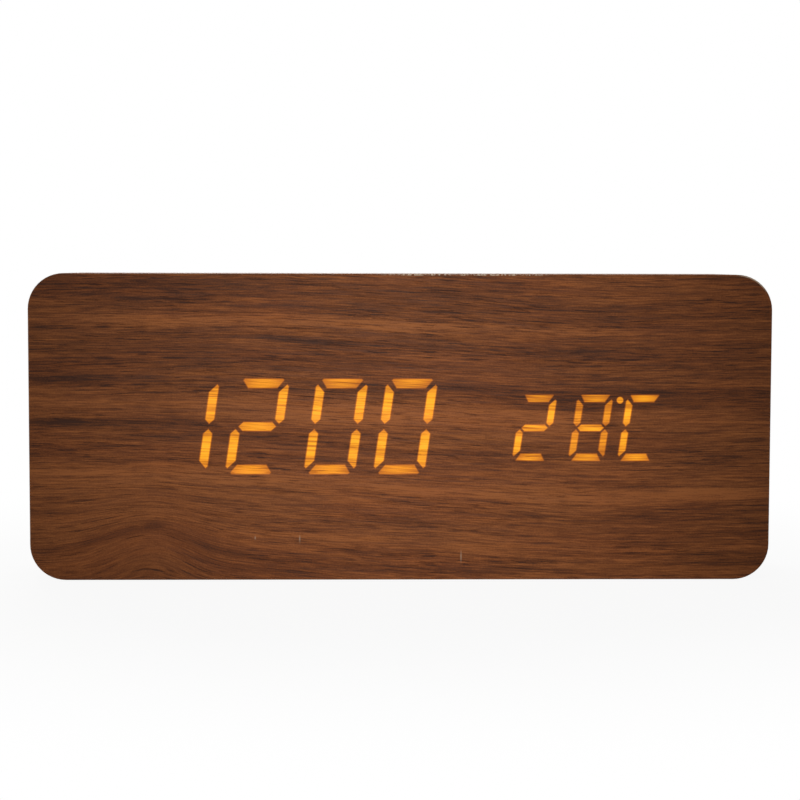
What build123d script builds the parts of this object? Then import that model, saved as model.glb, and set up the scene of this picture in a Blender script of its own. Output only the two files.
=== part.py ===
from build123d import *
import os
from math import radians, tan

# A desk clock: a veneered wooden block whose digits shine through its face from behind.
# Millimetres. X runs right, Y runs from the face to the back, Z runs up, and the origin lies
# at the middle of the base.

# Whole body: its width follows from the places of the digits below
clock_height = 86.0
clock_depth = 38.0
corner_radius = 10.0
overrun = 1.0  # how far a cutting shape passes the faces that it cuts
rod_side_count = 12  # flats on a screw, its hole and other small round parts that repeat

# Veneer, glue and diffusing film
veneer_thickness = 0.6
veneer_arris = 0.2
glue_line = 0.05
film_thickness = 0.2
film_lap = 2.5
film_gap = 0.3

# Wooden case
case_wall = 10.0
front_wall = 3.0
pocket_radius = 6.0
board_land = 8.0
cover_land = 5.5
rebate_radius = 5.0

# Row of time digits: bars slant to the right as they rise
time_span = 24.15
time_column = 11.9
time_bar = 2.6
time_upright = 2.5
time_upright_length = 11.1
time_tip_gap = 0.75
time_bar_reach = 11.95
time_bar_root = 8.2
time_middle_length = 10.5
time_slant = 8.3
time_rise = 0.3
time_pitch = 19.5
time_pair_pitch = 41.5
first_digit_margin = 44.15  # from the clock's left end to the middle of the first digit
row_gap = 36.2  # from the middle of the last time digit to the first temperature digit
colon_rise = 5.2
colon_radius = 1.3

# Row of temperature digits, and the ring of the degree sign as one dot
heat_span = 16.55
heat_column = 8.15
heat_bar = 2.0
heat_upright = 1.8
heat_upright_length = 7.5
heat_tip_gap = 0.5
heat_bar_reach = 7.9
heat_bar_root = 5.5
heat_middle_length = 6.8
heat_slant = 8.2
heat_rise = -0.05
heat_pitch = 15.8
heat_letter_pitch = 13.9
last_digit_margin = 36.95
degree_shift = 8.2
degree_rise = 7.6
degree_radius = 1.1

# Light boxes, moulded round the bars
light_box_depth = 9.0
box_margin = 3.2
box_radius = 2.5
window_gap = 0.2
flange_reach = 3.0
flange_thickness = 1.5
well_draft = 2.5
core_wall = 1.0
core_roof = 1.2
box_boss_radius = 2.6

# Display board and what it carries
board_thickness = 1.6
display_board_level_gap = 6.35
display_board_gap = 0.8
board_corner = 1.5
mount_screw_inset = 4.0
mount_screw_drop = 6.0
led_length = 1.6
led_width = 0.8
led_height = 0.6

# Chips with two rows of bent leads
chip_length = 10.3
chip_width = 4.0
chip_height = 1.4
chip_standoff = 0.15
lead_pitch = 1.27
lead_width = 0.45
lead_thickness = 0.2
lead_shoulder = 0.35
lead_foot = 0.8
driver_lead_count = 8
control_lead_count = 8

# Screws
screw_radius = 1.0
screw_length = 6.0
screw_head_radius = 1.9
screw_head_height = 1.3
screw_gap = 0.05
case_screw_radius = 1.25
case_screw_length = 9.0
case_screw_head_radius = 2.5
case_screw_head_height = 1.6
hole_bottom = 0.5  # room left past a screw's tip

# Back cover
cover_inset = 1.0
cover_thickness = 2.2
cover_gap = 0.25
cover_arris = 0.4
cover_screw_inset = 5.0
cover_screw_sink = 1.4
screw_head_gap = 0.3
skirt_thickness = 1.5
skirt_height = 4.0
skirt_gap = 0.3

# Battery bay, cells and contacts
cell_radius = 5.25
cell_length = 44.5
cell_nub_radius = 1.9
cell_nub_length = 1.0
cell_pitch = 11.0
cell_cover_gap = 0.6
plate_thickness = 0.3
plate_width = 7.0
plate_rise = 3.3
spring_depth = 2.4
spring_strip = 0.25
spring_width = 5.0
bay_margin = 27.75  # from the pocket's left wall to the bay
bay_rise = 0.0
tub_wall = 1.5
tub_radius = 2.0
cell_count = 3

# Battery door with two tongues, a sprung tab and a finger scoop
door_thickness = 1.6
door_land = 1.3
door_gap = 0.2
door_seat_gap = 0.05
door_radius = 1.2
tongue_length = 2.0
tongue_width = 3.0
tongue_thickness = 1.0
tongue_gap = 0.1
tongue_root = 1.4
tongue_swing = 4.2
tongue_wall = 1.0
latch_reach = 7.5
latch_width = 12.0
latch_gap = 0.3
latch_depth = 6.4
latch_strip = 0.9
latch_bend = 1.2
latch_nub_radius = 0.45
latch_nub_drop = 2.6
finger_room = 3.2
grip_count = 4
grip_pitch = 2.0
grip_width = 0.8
grip_length = 16.0
grip_depth = 0.3

# Control board
control_margin = 10.35  # from the pocket's right wall to the board
control_rise = 0.0
control_width = 66.0
control_height = 46.0
control_inset = 4.0
boss_radius = 3.0
rib_wall = 1.0
rib_gap = 0.3
rib_end_gap = 0.4

# Keys and their switches
key_count = 3
key_pitch = 14.0
key_rise = 12.0
key_radius = 3.6
key_gap = 0.2
key_proud = 0.8
key_dish = 0.35
key_flange_radius = 4.8
key_flange_thickness = 0.9
key_flange_gap = 0.1
key_foot_radius = 2.2
key_foot = 1.0
key_travel = 0.5
switch_side = 6.0
switch_height = 3.5
plunger_radius = 1.75
plunger_rise = 1.5
plunger_seat = 0.8
plunger_gap = 0.1
leg_length = 0.9
leg_width = 0.8
leg_thickness = 0.25
leg_inset = 1.0

# Power inlet
inlet_along = 22.0  # from the middle of the control board
inlet_rise = -12.0
inlet_side = 8.4
inlet_shoulder_gap = 0.3
inlet_nozzle_radius = 3.4
inlet_nozzle_gap = 0.3
inlet_nozzle_sink = 0.3
inlet_bore_radius = 1.85
inlet_bore_depth = 8.0
inlet_pin_radius = 0.65
inlet_pin_sink = 1.0
inlet_contact_width = 1.4
inlet_contact_thickness = 0.25
inlet_scoop_radius = 5.5
inlet_scoop_depth = 0.7

# Buzzer and its sound slots
buzzer_along = -16.0
buzzer_rise = -11.0
buzzer_radius = 6.0
buzzer_height = 6.3
buzzer_port_radius = 1.2
buzzer_port_depth = 2.0
slot_count = 5
slot_length = 7.6
slot_width = 1.2
slot_pitch = 2.2

# Thermistor and its air slots
bead_along = 4.0
bead_rise = -12.0
bead_radius = 1.2
bead_thickness = 1.4
bead_rib_reach = 3.3
bead_leg_radius = 0.25
bead_leg_spread = 1.4
bead_leg_bend = 1.0
bead_cover_gap = 0.8
bead_slot_count = 3
bead_slot_length = 4.5
bead_slot_width = 1.0
bead_slot_pitch = 2.0

# Crystal and capacitors, on the side of the control board that faces the display
crystal_length = 10.2
crystal_width = 4.0
crystal_height = 3.4
crystal_rim = 0.4
crystal_rim_height = 0.5
crystal_along = 14.0
crystal_rise = 12.0
capacitor_radius = 3.15
capacitor_height = 6.6
capacitor_along = 16.0
capacitor_rise = -9.0
capacitor_pitch = 8.5
control_chip_along = -4.0
control_chip_rise = 2.0

# Cable between the boards, battery leads and their plugs
plug_length = 10.0
plug_width = 4.5
plug_height = 3.6
plug_slot_depth = 1.0
ribbon_width = 7.4
ribbon_thickness = 1.0
ribbon_bend = 3.2
plug_along = -27.0
ribbon_run = 21.0
plug_rise = 8.0
lead_radius = 0.6
lead_side_count = 6
lead_bend = 2.6
lead_clearance = 3.0
lead_inner_rise = -11.0
lead_outer_drop = 3.4
lead_lift = 4.4
lead_board_inset = 9.0
lead_board_pitch = 3.5

# Places along the depth, from the face to the back
face_y = -clock_depth / 2
rear_y = clock_depth / 2
veneer_back = face_y + veneer_thickness
film_back = veneer_back + film_thickness
wall_back = veneer_back + front_wall
display_front = film_back + light_box_depth
display_back = display_front + board_thickness
cover_outer = rear_y - cover_inset
cover_inner = cover_outer - cover_thickness
door_inner = cover_outer - door_thickness
key_foot_end = cover_inner - key_flange_gap - key_flange_thickness - key_foot
switch_top = key_foot_end - plunger_rise
control_back = switch_top - switch_height
control_front = control_back - board_thickness
cell_axis = door_inner - cell_cover_gap - cell_radius
tub_front = cell_axis - cell_pitch / 2 - tub_wall

# Sizes that follow
clock_width = (first_digit_margin + time_pair_pitch + time_pitch + row_gap + heat_pitch
               + heat_letter_pitch + last_digit_margin)
time_first_place = first_digit_margin - clock_width / 2
heat_first_place = time_first_place + time_pair_pitch + time_pitch + row_gap
degree_place = heat_first_place + heat_pitch + degree_shift
case_width = clock_width - 2 * (veneer_thickness + glue_line)
case_height = clock_height - 2 * (veneer_thickness + glue_line)
case_radius = corner_radius - veneer_thickness - glue_line
pocket_width = case_width - 2 * case_wall
pocket_height = case_height - 2 * case_wall
rebate_width = pocket_width + 2 * cover_land
rebate_height = pocket_height + 2 * cover_land
cover_width = rebate_width - 2 * cover_gap
cover_height = rebate_height - 2 * cover_gap
cover_radius = rebate_radius - cover_gap
display_board_width = pocket_width - 2 * display_board_gap
display_board_height = pocket_height - 2 * display_board_level_gap
bay_length = cell_length + plate_thickness + spring_depth
bay_height = cell_count * cell_pitch
bay_place = bay_margin - pocket_width / 2 + bay_length / 2
bay_start = bay_place - bay_length / 2
bay_end = bay_place + bay_length / 2
door_end = bay_end + latch_reach
door_length = door_end - bay_start
door_height = bay_height + 2 * door_land
tub_bottom = bay_rise - bay_height / 2 - tub_wall
control_place = pocket_width / 2 - control_margin - control_width / 2
inlet_place = control_place + inlet_along
buzzer_place = control_place + buzzer_along
bead_place = control_place + bead_along
crystal_place = control_place + crystal_along
capacitor_place = control_place + capacitor_along
control_chip_place = control_place + control_chip_along
control_plug_place = control_place + plug_along
display_plug_place = control_plug_place - ribbon_run


def face_plane(depth_place):
    """A plane across the clock: its x is the clock's X, its y is the height above mid-height."""
    return Plane(origin=(0, depth_place, clock_height / 2), x_dir=(1, 0, 0), z_dir=(0, -1, 0))


def slab(outline, front, back):
    """An outline on the face, as a solid from one depth to another."""
    return extrude(face_plane(front) * outline, amount=back - front, dir=(0, 1, 0))


def post(place, rise, radius, front, back):
    return slab(Pos(place, rise) * Circle(radius), front, back)


def rod(place, rise, radius, front, back):
    """A post or hole with flats in place of its curve, which keeps a part that repeats light."""
    return slab(Pos(place, rise) * RegularPolygon(radius, rod_side_count), front, back)


def turned(outline, place, rise, seat):
    """Revolves a half outline, whose second coordinate runs from the seat to the back."""
    solid = revolve(make_face(Plane.XZ * outline), axis=Axis.Z)
    return Plane(origin=(place, seat, clock_height / 2 + rise), z_dir=(0, 1, 0)) * solid


def screw(place, rise, seat, radius, length, head_radius, head_height, towards_back=1):
    """A pan-head screw: its head stands on the seat, its shank goes through it."""
    tip = seat - towards_back * length
    top = seat + towards_back * head_height
    shank = rod(place, rise, radius, min(seat, tip), max(seat, tip))
    return shank + rod(place, rise, head_radius, min(seat, top), max(seat, top))


def small_screw(place, rise, seat, towards_back=1):
    return screw(place, rise, seat, screw_radius, screw_length, screw_head_radius,
                 screw_head_height, towards_back)


def case_screw(place, rise, seat):
    return screw(place, rise, seat, case_screw_radius, case_screw_length,
                 case_screw_head_radius, case_screw_head_height)


def corners(across, up, place=0, rise=0):
    """The four corners of a rectangle, given by its half width and half height."""
    return [(place + side * across, rise + level * up) for side in (-1, 1) for level in (-1, 1)]


class DigitRow:
    """One row of slanted seven-bar digits, with the round dots between them."""

    def __init__(self, span, column, bar, upright, upright_length, tip_gap, reach, root,
                 middle_length, slant, rise, places, dots, dot_radius):
        self.span = span
        self.column = column
        self.bar = bar
        self.upright = upright
        self.upright_length = upright_length
        self.tip_gap = tip_gap
        self.reach = reach
        self.root = root
        self.middle_length = middle_length
        self.lean = tan(radians(slant))
        self.slant = slant
        self.rise = rise
        self.places = places
        self.dots = dots
        self.dot_radius = dot_radius

    def level_bar(self, side):
        """The top or bottom bar, wider at its outer edge."""
        outer = side * (self.span + self.bar) / 2
        inner = side * (self.span - self.bar) / 2
        return [(-self.reach / 2, outer), (self.reach / 2, outer),
                (self.root / 2, inner), (-self.root / 2, inner)]

    def middle_bar(self):
        half = self.middle_length / 2
        deep = self.bar / 2
        return [(-half, 0), (deep - half, deep), (half - deep, deep), (half, 0),
                (half - deep, -deep), (deep - half, -deep)]

    def upright_bar(self, side, level):
        """A side bar: pointed at the middle, mitred where it meets the top or bottom bar."""
        middle = side * self.column / 2
        outer = middle + side * self.upright / 2
        inner = middle - side * self.upright / 2
        near = self.tip_gap
        far = near + self.upright_length
        shoulder = near + self.upright / 2
        return [(middle, level * near), (outer, level * shoulder), (outer, level * far),
                (inner, level * (far - self.upright)), (inner, level * shoulder)]

    def bars(self):
        """The seven bars, each as its corner points and its angle from level."""
        flat = [self.level_bar(1), self.level_bar(-1), self.middle_bar()]
        tall = [self.upright_bar(side, level) for side in (-1, 1) for level in (-1, 1)]
        upright_angle = 90 - self.slant
        return [(points, 0) for points in flat] + [(points, upright_angle) for points in tall]

    def lean_over(self, points, place):
        return [(place + x + z * self.lean, self.rise + z) for x, z in points]

    def all_bars(self):
        return [(self.lean_over(points, place), angle) for place in self.places
                for points, angle in self.bars()]

    def outline_size(self):
        """The width, height and middle of the moulded block round the row."""
        half_up = (self.span + self.bar) / 2
        sideways = (self.column + self.upright) / 2 + half_up * self.lean + box_margin
        start = min(self.places) - sideways
        end = max(self.places) + sideways
        return end - start, 2 * (half_up + box_margin), (start + end) / 2, self.rise


colon_lean = colon_rise * tan(radians(time_slant))
colon_place = time_first_place + (time_pitch + time_pair_pitch) / 2
time_row = DigitRow(
    time_span, time_column, time_bar, time_upright, time_upright_length, time_tip_gap,
    time_bar_reach, time_bar_root, time_middle_length, time_slant, time_rise,
    [time_first_place + pair * time_pair_pitch + digit * time_pitch
     for pair in (0, 1) for digit in (0, 1)],
    [(colon_place + level * colon_lean, time_rise + level * colon_rise) for level in (-1, 1)],
    colon_radius)
heat_row = DigitRow(
    heat_span, heat_column, heat_bar, heat_upright, heat_upright_length, heat_tip_gap,
    heat_bar_reach, heat_bar_root, heat_middle_length, heat_slant, heat_rise,
    [heat_first_place, heat_first_place + heat_pitch,
     heat_first_place + heat_pitch + heat_letter_pitch],
    [(degree_place, degree_rise)], degree_radius)


def centre_of(points):
    return (sum(x for x, z in points) / len(points), sum(z for x, z in points) / len(points))


def bar_well(points):
    """A cutting solid behind one bar, narrowed towards the back by the mould's draft."""
    outline = Polygon(*points, align=None)
    if outline.face().normal_at().Z < 0:
        outline = Polygon(*reversed(points), align=None)
    core = extrude(outline, amount=light_box_depth + overrun, taper=well_draft)
    return face_plane(film_back) * mirror(core, about=Plane.XY)


def counter_cores(row):
    """The blind pockets moulded inside each digit from behind, which keep its walls even."""
    half_x = (row.column - row.upright) / 2 - core_wall
    low = row.bar / 2 + core_wall
    high = row.span / 2 - row.bar / 2 - core_wall
    cores = []
    for place in row.places:
        for level in (-1, 1):
            square = [(-half_x, level * low), (half_x, level * low),
                      (half_x, level * high), (-half_x, level * high)]
            outline = Polygon(*row.lean_over(square, place), align=None)
            cores.append(slab(outline, film_back + core_roof, display_front + overrun))
    return cores


def box_block(row, grow, front, back):
    width, height, place, rise = row.outline_size()
    outline = RectangleRounded(width + 2 * grow, height + 2 * grow, box_radius + grow)
    return slab(Pos(place, rise) * outline, front, back)


def box_screw_places(row):
    """One screw at the middle of each end of the box."""
    width, height, place, rise = row.outline_size()
    return [(place - width / 2, rise), (place + width / 2, rise)]


def make_light_box(row):
    """A moulded block with one drafted well behind each bar, a flange and two screw bosses."""
    box = box_block(row, 0, film_back, display_front)
    box += box_block(row, flange_reach, wall_back, wall_back + flange_thickness)
    for place, rise in box_screw_places(row):
        box += rod(place, rise, box_boss_radius, wall_back, display_front)
    cuts = [bar_well(points) for points, angle in row.all_bars()]
    cuts += [rod(place, rise, row.dot_radius, film_back - overrun, display_front + overrun)
             for place, rise in row.dots]
    cuts += counter_cores(row)
    pilot_front = display_back - screw_length - hole_bottom
    for place, rise in box_screw_places(row):
        cuts.append(rod(place, rise, screw_radius + screw_gap, pilot_front,
                        display_front + overrun))
    return box - cuts


def make_leds(row):
    """One light-emitting chip at the bottom of each well, turned along its bar."""
    leds = []
    spots = [(centre_of(points), angle) for points, angle in row.all_bars()]
    spots += [(dot, 0) for dot in row.dots]
    for (place, rise), angle in spots:
        outline = Pos(place, rise) * Rot(0, 0, angle) * Rectangle(led_length, led_width)
        leds.append(slab(outline, display_front - led_height, display_front))
    return leds


def display_screw_places():
    across = display_board_width / 2 - mount_screw_inset
    return corners(across, display_board_height / 2 - mount_screw_drop)


def make_front_veneer():
    sheet = slab(RectangleRounded(clock_width, clock_height, corner_radius), face_y, veneer_back)
    return chamfer(sheet.faces().sort_by(Axis.Y)[0].edges(), veneer_arris)


def make_edge_veneer():
    outer = slab(RectangleRounded(clock_width, clock_height, corner_radius), veneer_back, rear_y)
    bore = RectangleRounded(clock_width - 2 * veneer_thickness,
                            clock_height - 2 * veneer_thickness, corner_radius - veneer_thickness)
    return outer - slab(bore, veneer_back - overrun, rear_y + overrun)


def film_outline(grow):
    time_width, time_height, time_middle, time_level = time_row.outline_size()
    heat_width, heat_height, heat_middle, heat_level = heat_row.outline_size()
    start = time_middle - time_width / 2 - film_lap
    end = heat_middle + heat_width / 2 + film_lap
    sheet = RectangleRounded(end - start + 2 * grow, time_height + 2 * (film_lap + grow),
                             box_radius + grow)
    return Pos((start + end) / 2, time_level) * sheet


def make_diffuser_film():
    return slab(film_outline(0), veneer_back, film_back)


def cover_screw_places():
    return corners(cover_width / 2 - cover_screw_inset, cover_height / 2 - cover_screw_inset)


def make_case_frame():
    """The wooden block, milled from the back in steps down to a thin front wall."""
    outline = RectangleRounded(case_width, case_height, case_radius)
    cover_seat = cover_inner
    body = slab(outline, veneer_back, rear_y)
    body -= slab(RectangleRounded(rebate_width, rebate_height, rebate_radius),
                 cover_seat, rear_y + overrun)
    body -= slab(RectangleRounded(pocket_width, pocket_height, pocket_radius),
                 display_front, rear_y)
    body -= slab(RectangleRounded(pocket_width - 2 * board_land, pocket_height, pocket_radius),
                 wall_back, display_front + overrun)
    body -= slab(film_outline(film_gap), veneer_back - overrun, film_back)
    for row in (time_row, heat_row):
        body -= box_block(row, window_gap, veneer_back - overrun, wall_back + overrun)
    for place, rise in display_screw_places():
        tip = display_back - screw_length - hole_bottom
        body -= rod(place, rise, screw_radius + screw_gap, tip, display_front + overrun)
    for place, rise in cover_screw_places():
        tip = cover_outer - cover_screw_sink - case_screw_length - hole_bottom
        body -= rod(place, rise, case_screw_radius + screw_gap, tip, cover_seat + overrun)
    return body


def make_display_board():
    board = slab(RectangleRounded(display_board_width, display_board_height, board_corner),
                 display_front, display_back)
    holes = display_screw_places() + box_screw_places(time_row) + box_screw_places(heat_row)
    for place, rise in holes:
        board -= rod(place, rise, screw_radius + screw_gap, display_front - overrun,
                     display_back + overrun)
    return board


def make_chip(place, rise, seat, leads, outward):
    """A flat moulded chip on bent leads. outward is 1 towards the back and -1 to the front."""
    ground = Plane(origin=(place, seat, clock_height / 2 + rise), x_dir=(1, 0, 0),
                   z_dir=(0, outward, 0))
    top = chip_standoff + chip_height
    body = extrude(Plane.XY.offset(chip_standoff) * Rectangle(chip_length, chip_width),
                   amount=chip_height)
    body = chamfer(body.edges().group_by(Axis.Z)[-1], chip_standoff)
    knee = chip_standoff + chip_height / 2
    side = chip_width / 2
    bend = side + lead_shoulder
    toe = bend + lead_foot
    lead_line = [(side - lead_thickness, knee), (bend, knee), (bend, lead_thickness),
                 (toe, lead_thickness), (toe, 0), (bend - lead_thickness, 0),
                 (bend - lead_thickness, knee - lead_thickness),
                 (side - lead_thickness, knee - lead_thickness)]
    lead = extrude(Plane.YZ * Polygon(*lead_line, align=None), amount=lead_width / 2, both=True)
    for number in range(leads):
        along = (number - (leads - 1) / 2) * lead_pitch
        body += Pos(along, 0, 0) * lead
        body += Pos(along, 0, 0) * Rot(0, 0, 180) * lead
    return ground * body


def make_driver_chips():
    """One chip behind the middle of each row."""
    chips = []
    for row in (time_row, heat_row):
        width, height, place, rise = row.outline_size()
        chips.append(make_chip(place, rise, display_back, driver_lead_count, 1))
    return chips


def bay_box(length, height, radius, front, back, place=bay_place):
    return slab(Pos(place, bay_rise) * RectangleRounded(length, height, radius), front, back)


def cell_rises():
    return [bay_rise + (number - (cell_count - 1) / 2) * cell_pitch for number in range(cell_count)]


def lying_rod(start, end, rise, radius):
    """A round rod along X at the depth of the cells."""
    ground = Plane(origin=(start, cell_axis, clock_height / 2 + rise), z_dir=(1, 0, 0))
    return extrude(ground * Circle(radius), amount=end - start)


def door_outline(grow):
    outline = RectangleRounded(door_length + 2 * grow, door_height + 2 * grow, door_radius)
    return Pos((bay_start + door_end) / 2, bay_rise) * outline


def tongue_rises():
    return [bay_rise + side * cell_pitch / 2 for side in (-1, 1)]


def side_slab(start, end, rise, height, front, back):
    """A box given by its ends along X, its middle height and its depths."""
    outline = Pos((start + end) / 2, rise) * Rectangle(end - start, height)
    return slab(outline, front, back)


def add_battery_tub(cover):
    """The tub that holds the cells: round troughs, a door seat, tongue slots, a latch pocket."""
    pocket_end = door_end + door_gap + finger_room
    cover += bay_box(bay_length + 2 * tub_wall, bay_height + 2 * tub_wall, tub_radius,
                     tub_front, cover_inner)
    cover += side_slab(bay_end, pocket_end + tub_wall, bay_rise,
                       latch_width + 2 * tub_wall, cover_outer - latch_depth - tub_wall,
                       cover_inner)
    cover -= slab(door_outline(door_gap), door_inner - door_seat_gap, cover_outer + overrun)
    cover -= side_slab(bay_start, bay_end, bay_rise, bay_height, cell_axis, cover_outer + overrun)
    for rise in cell_rises():
        cover -= lying_rod(bay_start, bay_end, rise, cell_pitch / 2)
    cover -= side_slab(bay_end + tub_wall, pocket_end, bay_rise, latch_width,
                       cover_outer - latch_depth, cover_outer + overrun)
    slot_start = bay_start - tongue_length - door_gap
    slot_width_across = tongue_width + 2 * door_gap
    for rise in tongue_rises():
        cover += side_slab(slot_start - tongue_wall, bay_start - tub_wall / 2, rise,
                           slot_width_across + 2 * tongue_wall,
                           cover_outer - tongue_swing - tongue_wall, cover_inner)
        cover -= side_slab(slot_start, bay_start + overrun, rise, slot_width_across,
                           cover_outer - tongue_swing, cover_inner)
    return cover


def key_places():
    return [control_place + (number - (key_count - 1) / 2) * key_pitch
            for number in range(key_count)]


def control_boss_places():
    return corners(control_width / 2 - control_inset, control_height / 2 - control_inset,
                   control_place, control_rise)


def slot_row(place, rise, count, length, width, pitch):
    """A row of upright slots through the cover, one beside the other."""
    slots = []
    for number in range(count):
        along = (number - (count - 1) / 2) * pitch
        outline = Pos(place + along, rise) * Rectangle(width, length)
        slots.append(slab(outline, cover_inner - overrun, cover_outer + overrun))
    return slots


def rib_frame(place, rise, reach):
    """Four ribs inside the cover, nearly down to the board, round what works between them."""
    outer = Rectangle(2 * (reach + rib_wall), 2 * (reach + rib_wall))
    frame = Pos(place, rise) * (outer - Rectangle(2 * reach, 2 * reach))
    return slab(frame, control_back + rib_end_gap, cover_inner)


def key_ribs():
    """A frame of ribs round the keys, with one more rib between each key and the next."""
    reach = key_flange_radius + rib_gap
    frame = Pos(control_place, key_rise) * Rectangle(key_count * key_pitch + rib_wall,
                                                     2 * (reach + rib_wall))
    for place in key_places():
        frame -= Pos(place, key_rise) * Rectangle(key_pitch - rib_wall, 2 * reach)
    return slab(frame, control_back + rib_end_gap, cover_inner)


def make_back_cover():
    """The moulded cover, screwed into the rebate, with a skirt that drops into the pocket."""
    cover = slab(RectangleRounded(cover_width, cover_height, cover_radius),
                 cover_inner, cover_outer)
    cover = chamfer(cover.faces().sort_by(Axis.Y)[-1].edges(), cover_arris)
    skirt_radius = pocket_radius - skirt_gap
    skirt = slab(RectangleRounded(pocket_width - 2 * skirt_gap, pocket_height - 2 * skirt_gap,
                                  skirt_radius), cover_inner - skirt_height, cover_inner)
    inside = 2 * (skirt_gap + skirt_thickness)
    skirt -= slab(RectangleRounded(pocket_width - inside, pocket_height - inside,
                                   skirt_radius - skirt_thickness),
                  cover_inner - skirt_height - overrun, cover_inner)
    cover += skirt
    cover = add_battery_tub(cover)
    for place, rise in control_boss_places():
        cover += rod(place, rise, boss_radius, control_back, cover_inner)
        cover -= rod(place, rise, screw_radius + screw_gap, control_back - overrun,
                     control_front + screw_length + hole_bottom)
    for place, rise in cover_screw_places():
        cover -= rod(place, rise, case_screw_radius + cover_gap, cover_inner - overrun,
                     cover_outer + overrun)
        cover -= post(place, rise, case_screw_head_radius + screw_head_gap,
                      cover_outer - cover_screw_sink, cover_outer + overrun)
    cover += key_ribs()
    for place in key_places():
        cover -= post(place, key_rise, key_radius + key_gap, cover_inner - overrun,
                      cover_outer + overrun)
    cover += rib_frame(bead_place, bead_rise, bead_rib_reach)
    cover += rib_frame(buzzer_place, buzzer_rise, buzzer_radius + rib_gap)
    cover -= post(inlet_place, inlet_rise, inlet_nozzle_radius + inlet_nozzle_gap,
                  cover_inner - overrun, cover_outer + overrun)
    cover -= post(inlet_place, inlet_rise, inlet_scoop_radius,
                  cover_outer - inlet_scoop_depth, cover_outer + overrun)
    cover -= slot_row(buzzer_place, buzzer_rise, slot_count, slot_length, slot_width, slot_pitch)
    cover -= slot_row(bead_place, bead_rise, bead_slot_count, bead_slot_length,
                      bead_slot_width, bead_slot_pitch)
    return cover


def make_battery_door():
    """The door: a plate with two tongues at its hinged end and a U-shaped spring tab."""
    door = slab(door_outline(0), door_inner, cover_outer)
    tongue_top = cover_inner - tongue_gap
    tongue_end = tongue_top - tongue_thickness
    for rise in tongue_rises():
        root_end = bay_start + tongue_root
        door += side_slab(bay_start + tongue_gap, root_end, rise, tongue_width,
                          tongue_end, door_inner)
        door += side_slab(bay_start - tongue_length, root_end, rise, tongue_width,
                          tongue_end, tongue_top)
    tab_width = latch_width - 2 * latch_gap
    outer_leg = door_end - latch_strip / 2
    inner_leg = outer_leg - 2 * latch_bend
    bottom = cover_outer - latch_depth + latch_gap + latch_strip / 2
    line = Polyline((inner_leg, door_inner), (inner_leg, bottom + latch_bend))
    line += ThreePointArc((inner_leg, bottom + latch_bend),
                          (inner_leg + latch_bend, bottom), (outer_leg, bottom + latch_bend))
    line += Line((outer_leg, bottom + latch_bend), (outer_leg, cover_outer - cover_arris))
    level = Plane(origin=(0, 0, clock_height / 2 + bay_rise))
    strip_end = Plane(origin=(inner_leg, door_inner, clock_height / 2 + bay_rise), z_dir=(0, -1, 0),
                      x_dir=(1, 0, 0))
    notch_start = outer_leg - 2 * latch_bend + latch_strip / 2
    door -= side_slab(notch_start, door_end + overrun, bay_rise, tab_width + 2 * latch_gap,
                      door_inner - overrun, cover_outer + overrun)
    door += sweep(strip_end * Rectangle(latch_strip, tab_width), path=level * line)
    nub = extrude(Plane(origin=(outer_leg, cover_outer - latch_nub_drop,
                                clock_height / 2 + bay_rise)) * Circle(latch_nub_radius),
                  amount=latch_width / 2 - tongue_gap, both=True)
    door += nub
    for number in range(grip_count):
        place = notch_start - (number + 1) * grip_pitch
        door -= side_slab(place - grip_width / 2, place + grip_width / 2, bay_rise, grip_length,
                          cover_outer - grip_depth, cover_outer + overrun)
    return door


def cell_ends(number):
    """Where a cell's plate and spring stand: 1 if its positive end faces the door's tab."""
    return 1 if number % 2 else -1


def make_cells():
    """The cells lie side by side, each turned end for end from its neighbour."""
    body_length = cell_length - cell_nub_length
    line = Polyline((0, 0), (cell_radius, 0), (cell_radius, body_length),
                    (cell_nub_radius, body_length), (cell_nub_radius, cell_length),
                    (0, cell_length), (0, 0))
    cell = revolve(make_face(Plane.XZ * line), axis=Axis.Z)
    cells = []
    for number, rise in enumerate(cell_rises()):
        facing = cell_ends(number)
        start = bay_place - facing * (bay_length / 2 - spring_depth)
        ground = Plane(origin=(start, cell_axis, clock_height / 2 + rise), z_dir=(facing, 0, 0))
        cells.append(ground * cell)
    return cells


def contact_plane(number, rise, facing):
    """A plane on the inner side of the bay's end wall, its x pointing at the cell."""
    wall = bay_place + facing * bay_length / 2
    return Plane(origin=(wall, cell_axis, clock_height / 2 + rise), x_dir=(-facing, 0, 0),
                 z_dir=(0, 0, 1))


def make_plates():
    """A plate with a round bump at the positive end of each cell."""
    plates = []
    for number, rise in enumerate(cell_rises()):
        ground = contact_plane(number, rise, cell_ends(number))
        plate = Box(plate_thickness, 2 * plate_rise, plate_width, align=(Align.MIN, Align.CENTER,
                                                                       Align.CENTER))
        plates.append(ground * plate)
    return plates


def make_springs():
    """A folded leaf spring at the negative end of each cell, bowed out to meet it."""
    strip = spring_strip
    tip = plate_rise - strip
    root = strip - plate_rise
    bow = ThreePointArc((2 * strip, -plate_rise), (spring_depth, 0), (3 * strip, tip))
    under = ThreePointArc((2 * strip, tip), (spring_depth - strip, 0), (strip, root))
    outline = Polyline((strip, root), (strip, plate_rise), (0, plate_rise), (0, -plate_rise),
                       (2 * strip, -plate_rise))
    outline += bow
    outline += Line((3 * strip, tip), (2 * strip, tip))
    outline += under
    springs = []
    for number, rise in enumerate(cell_rises()):
        ground = contact_plane(number, rise, -cell_ends(number))
        springs.append(extrude(ground * make_face(outline), amount=spring_width / 2, both=True))
    return springs


def make_control_board():
    outline = Pos(control_place, control_rise) * RectangleRounded(control_width, control_height,
                                                                 board_corner)
    board = slab(outline, control_front, control_back)
    for place, rise in control_boss_places():
        board -= rod(place, rise, screw_radius + screw_gap, control_front - overrun,
                     control_back + overrun)
    return board


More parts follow.
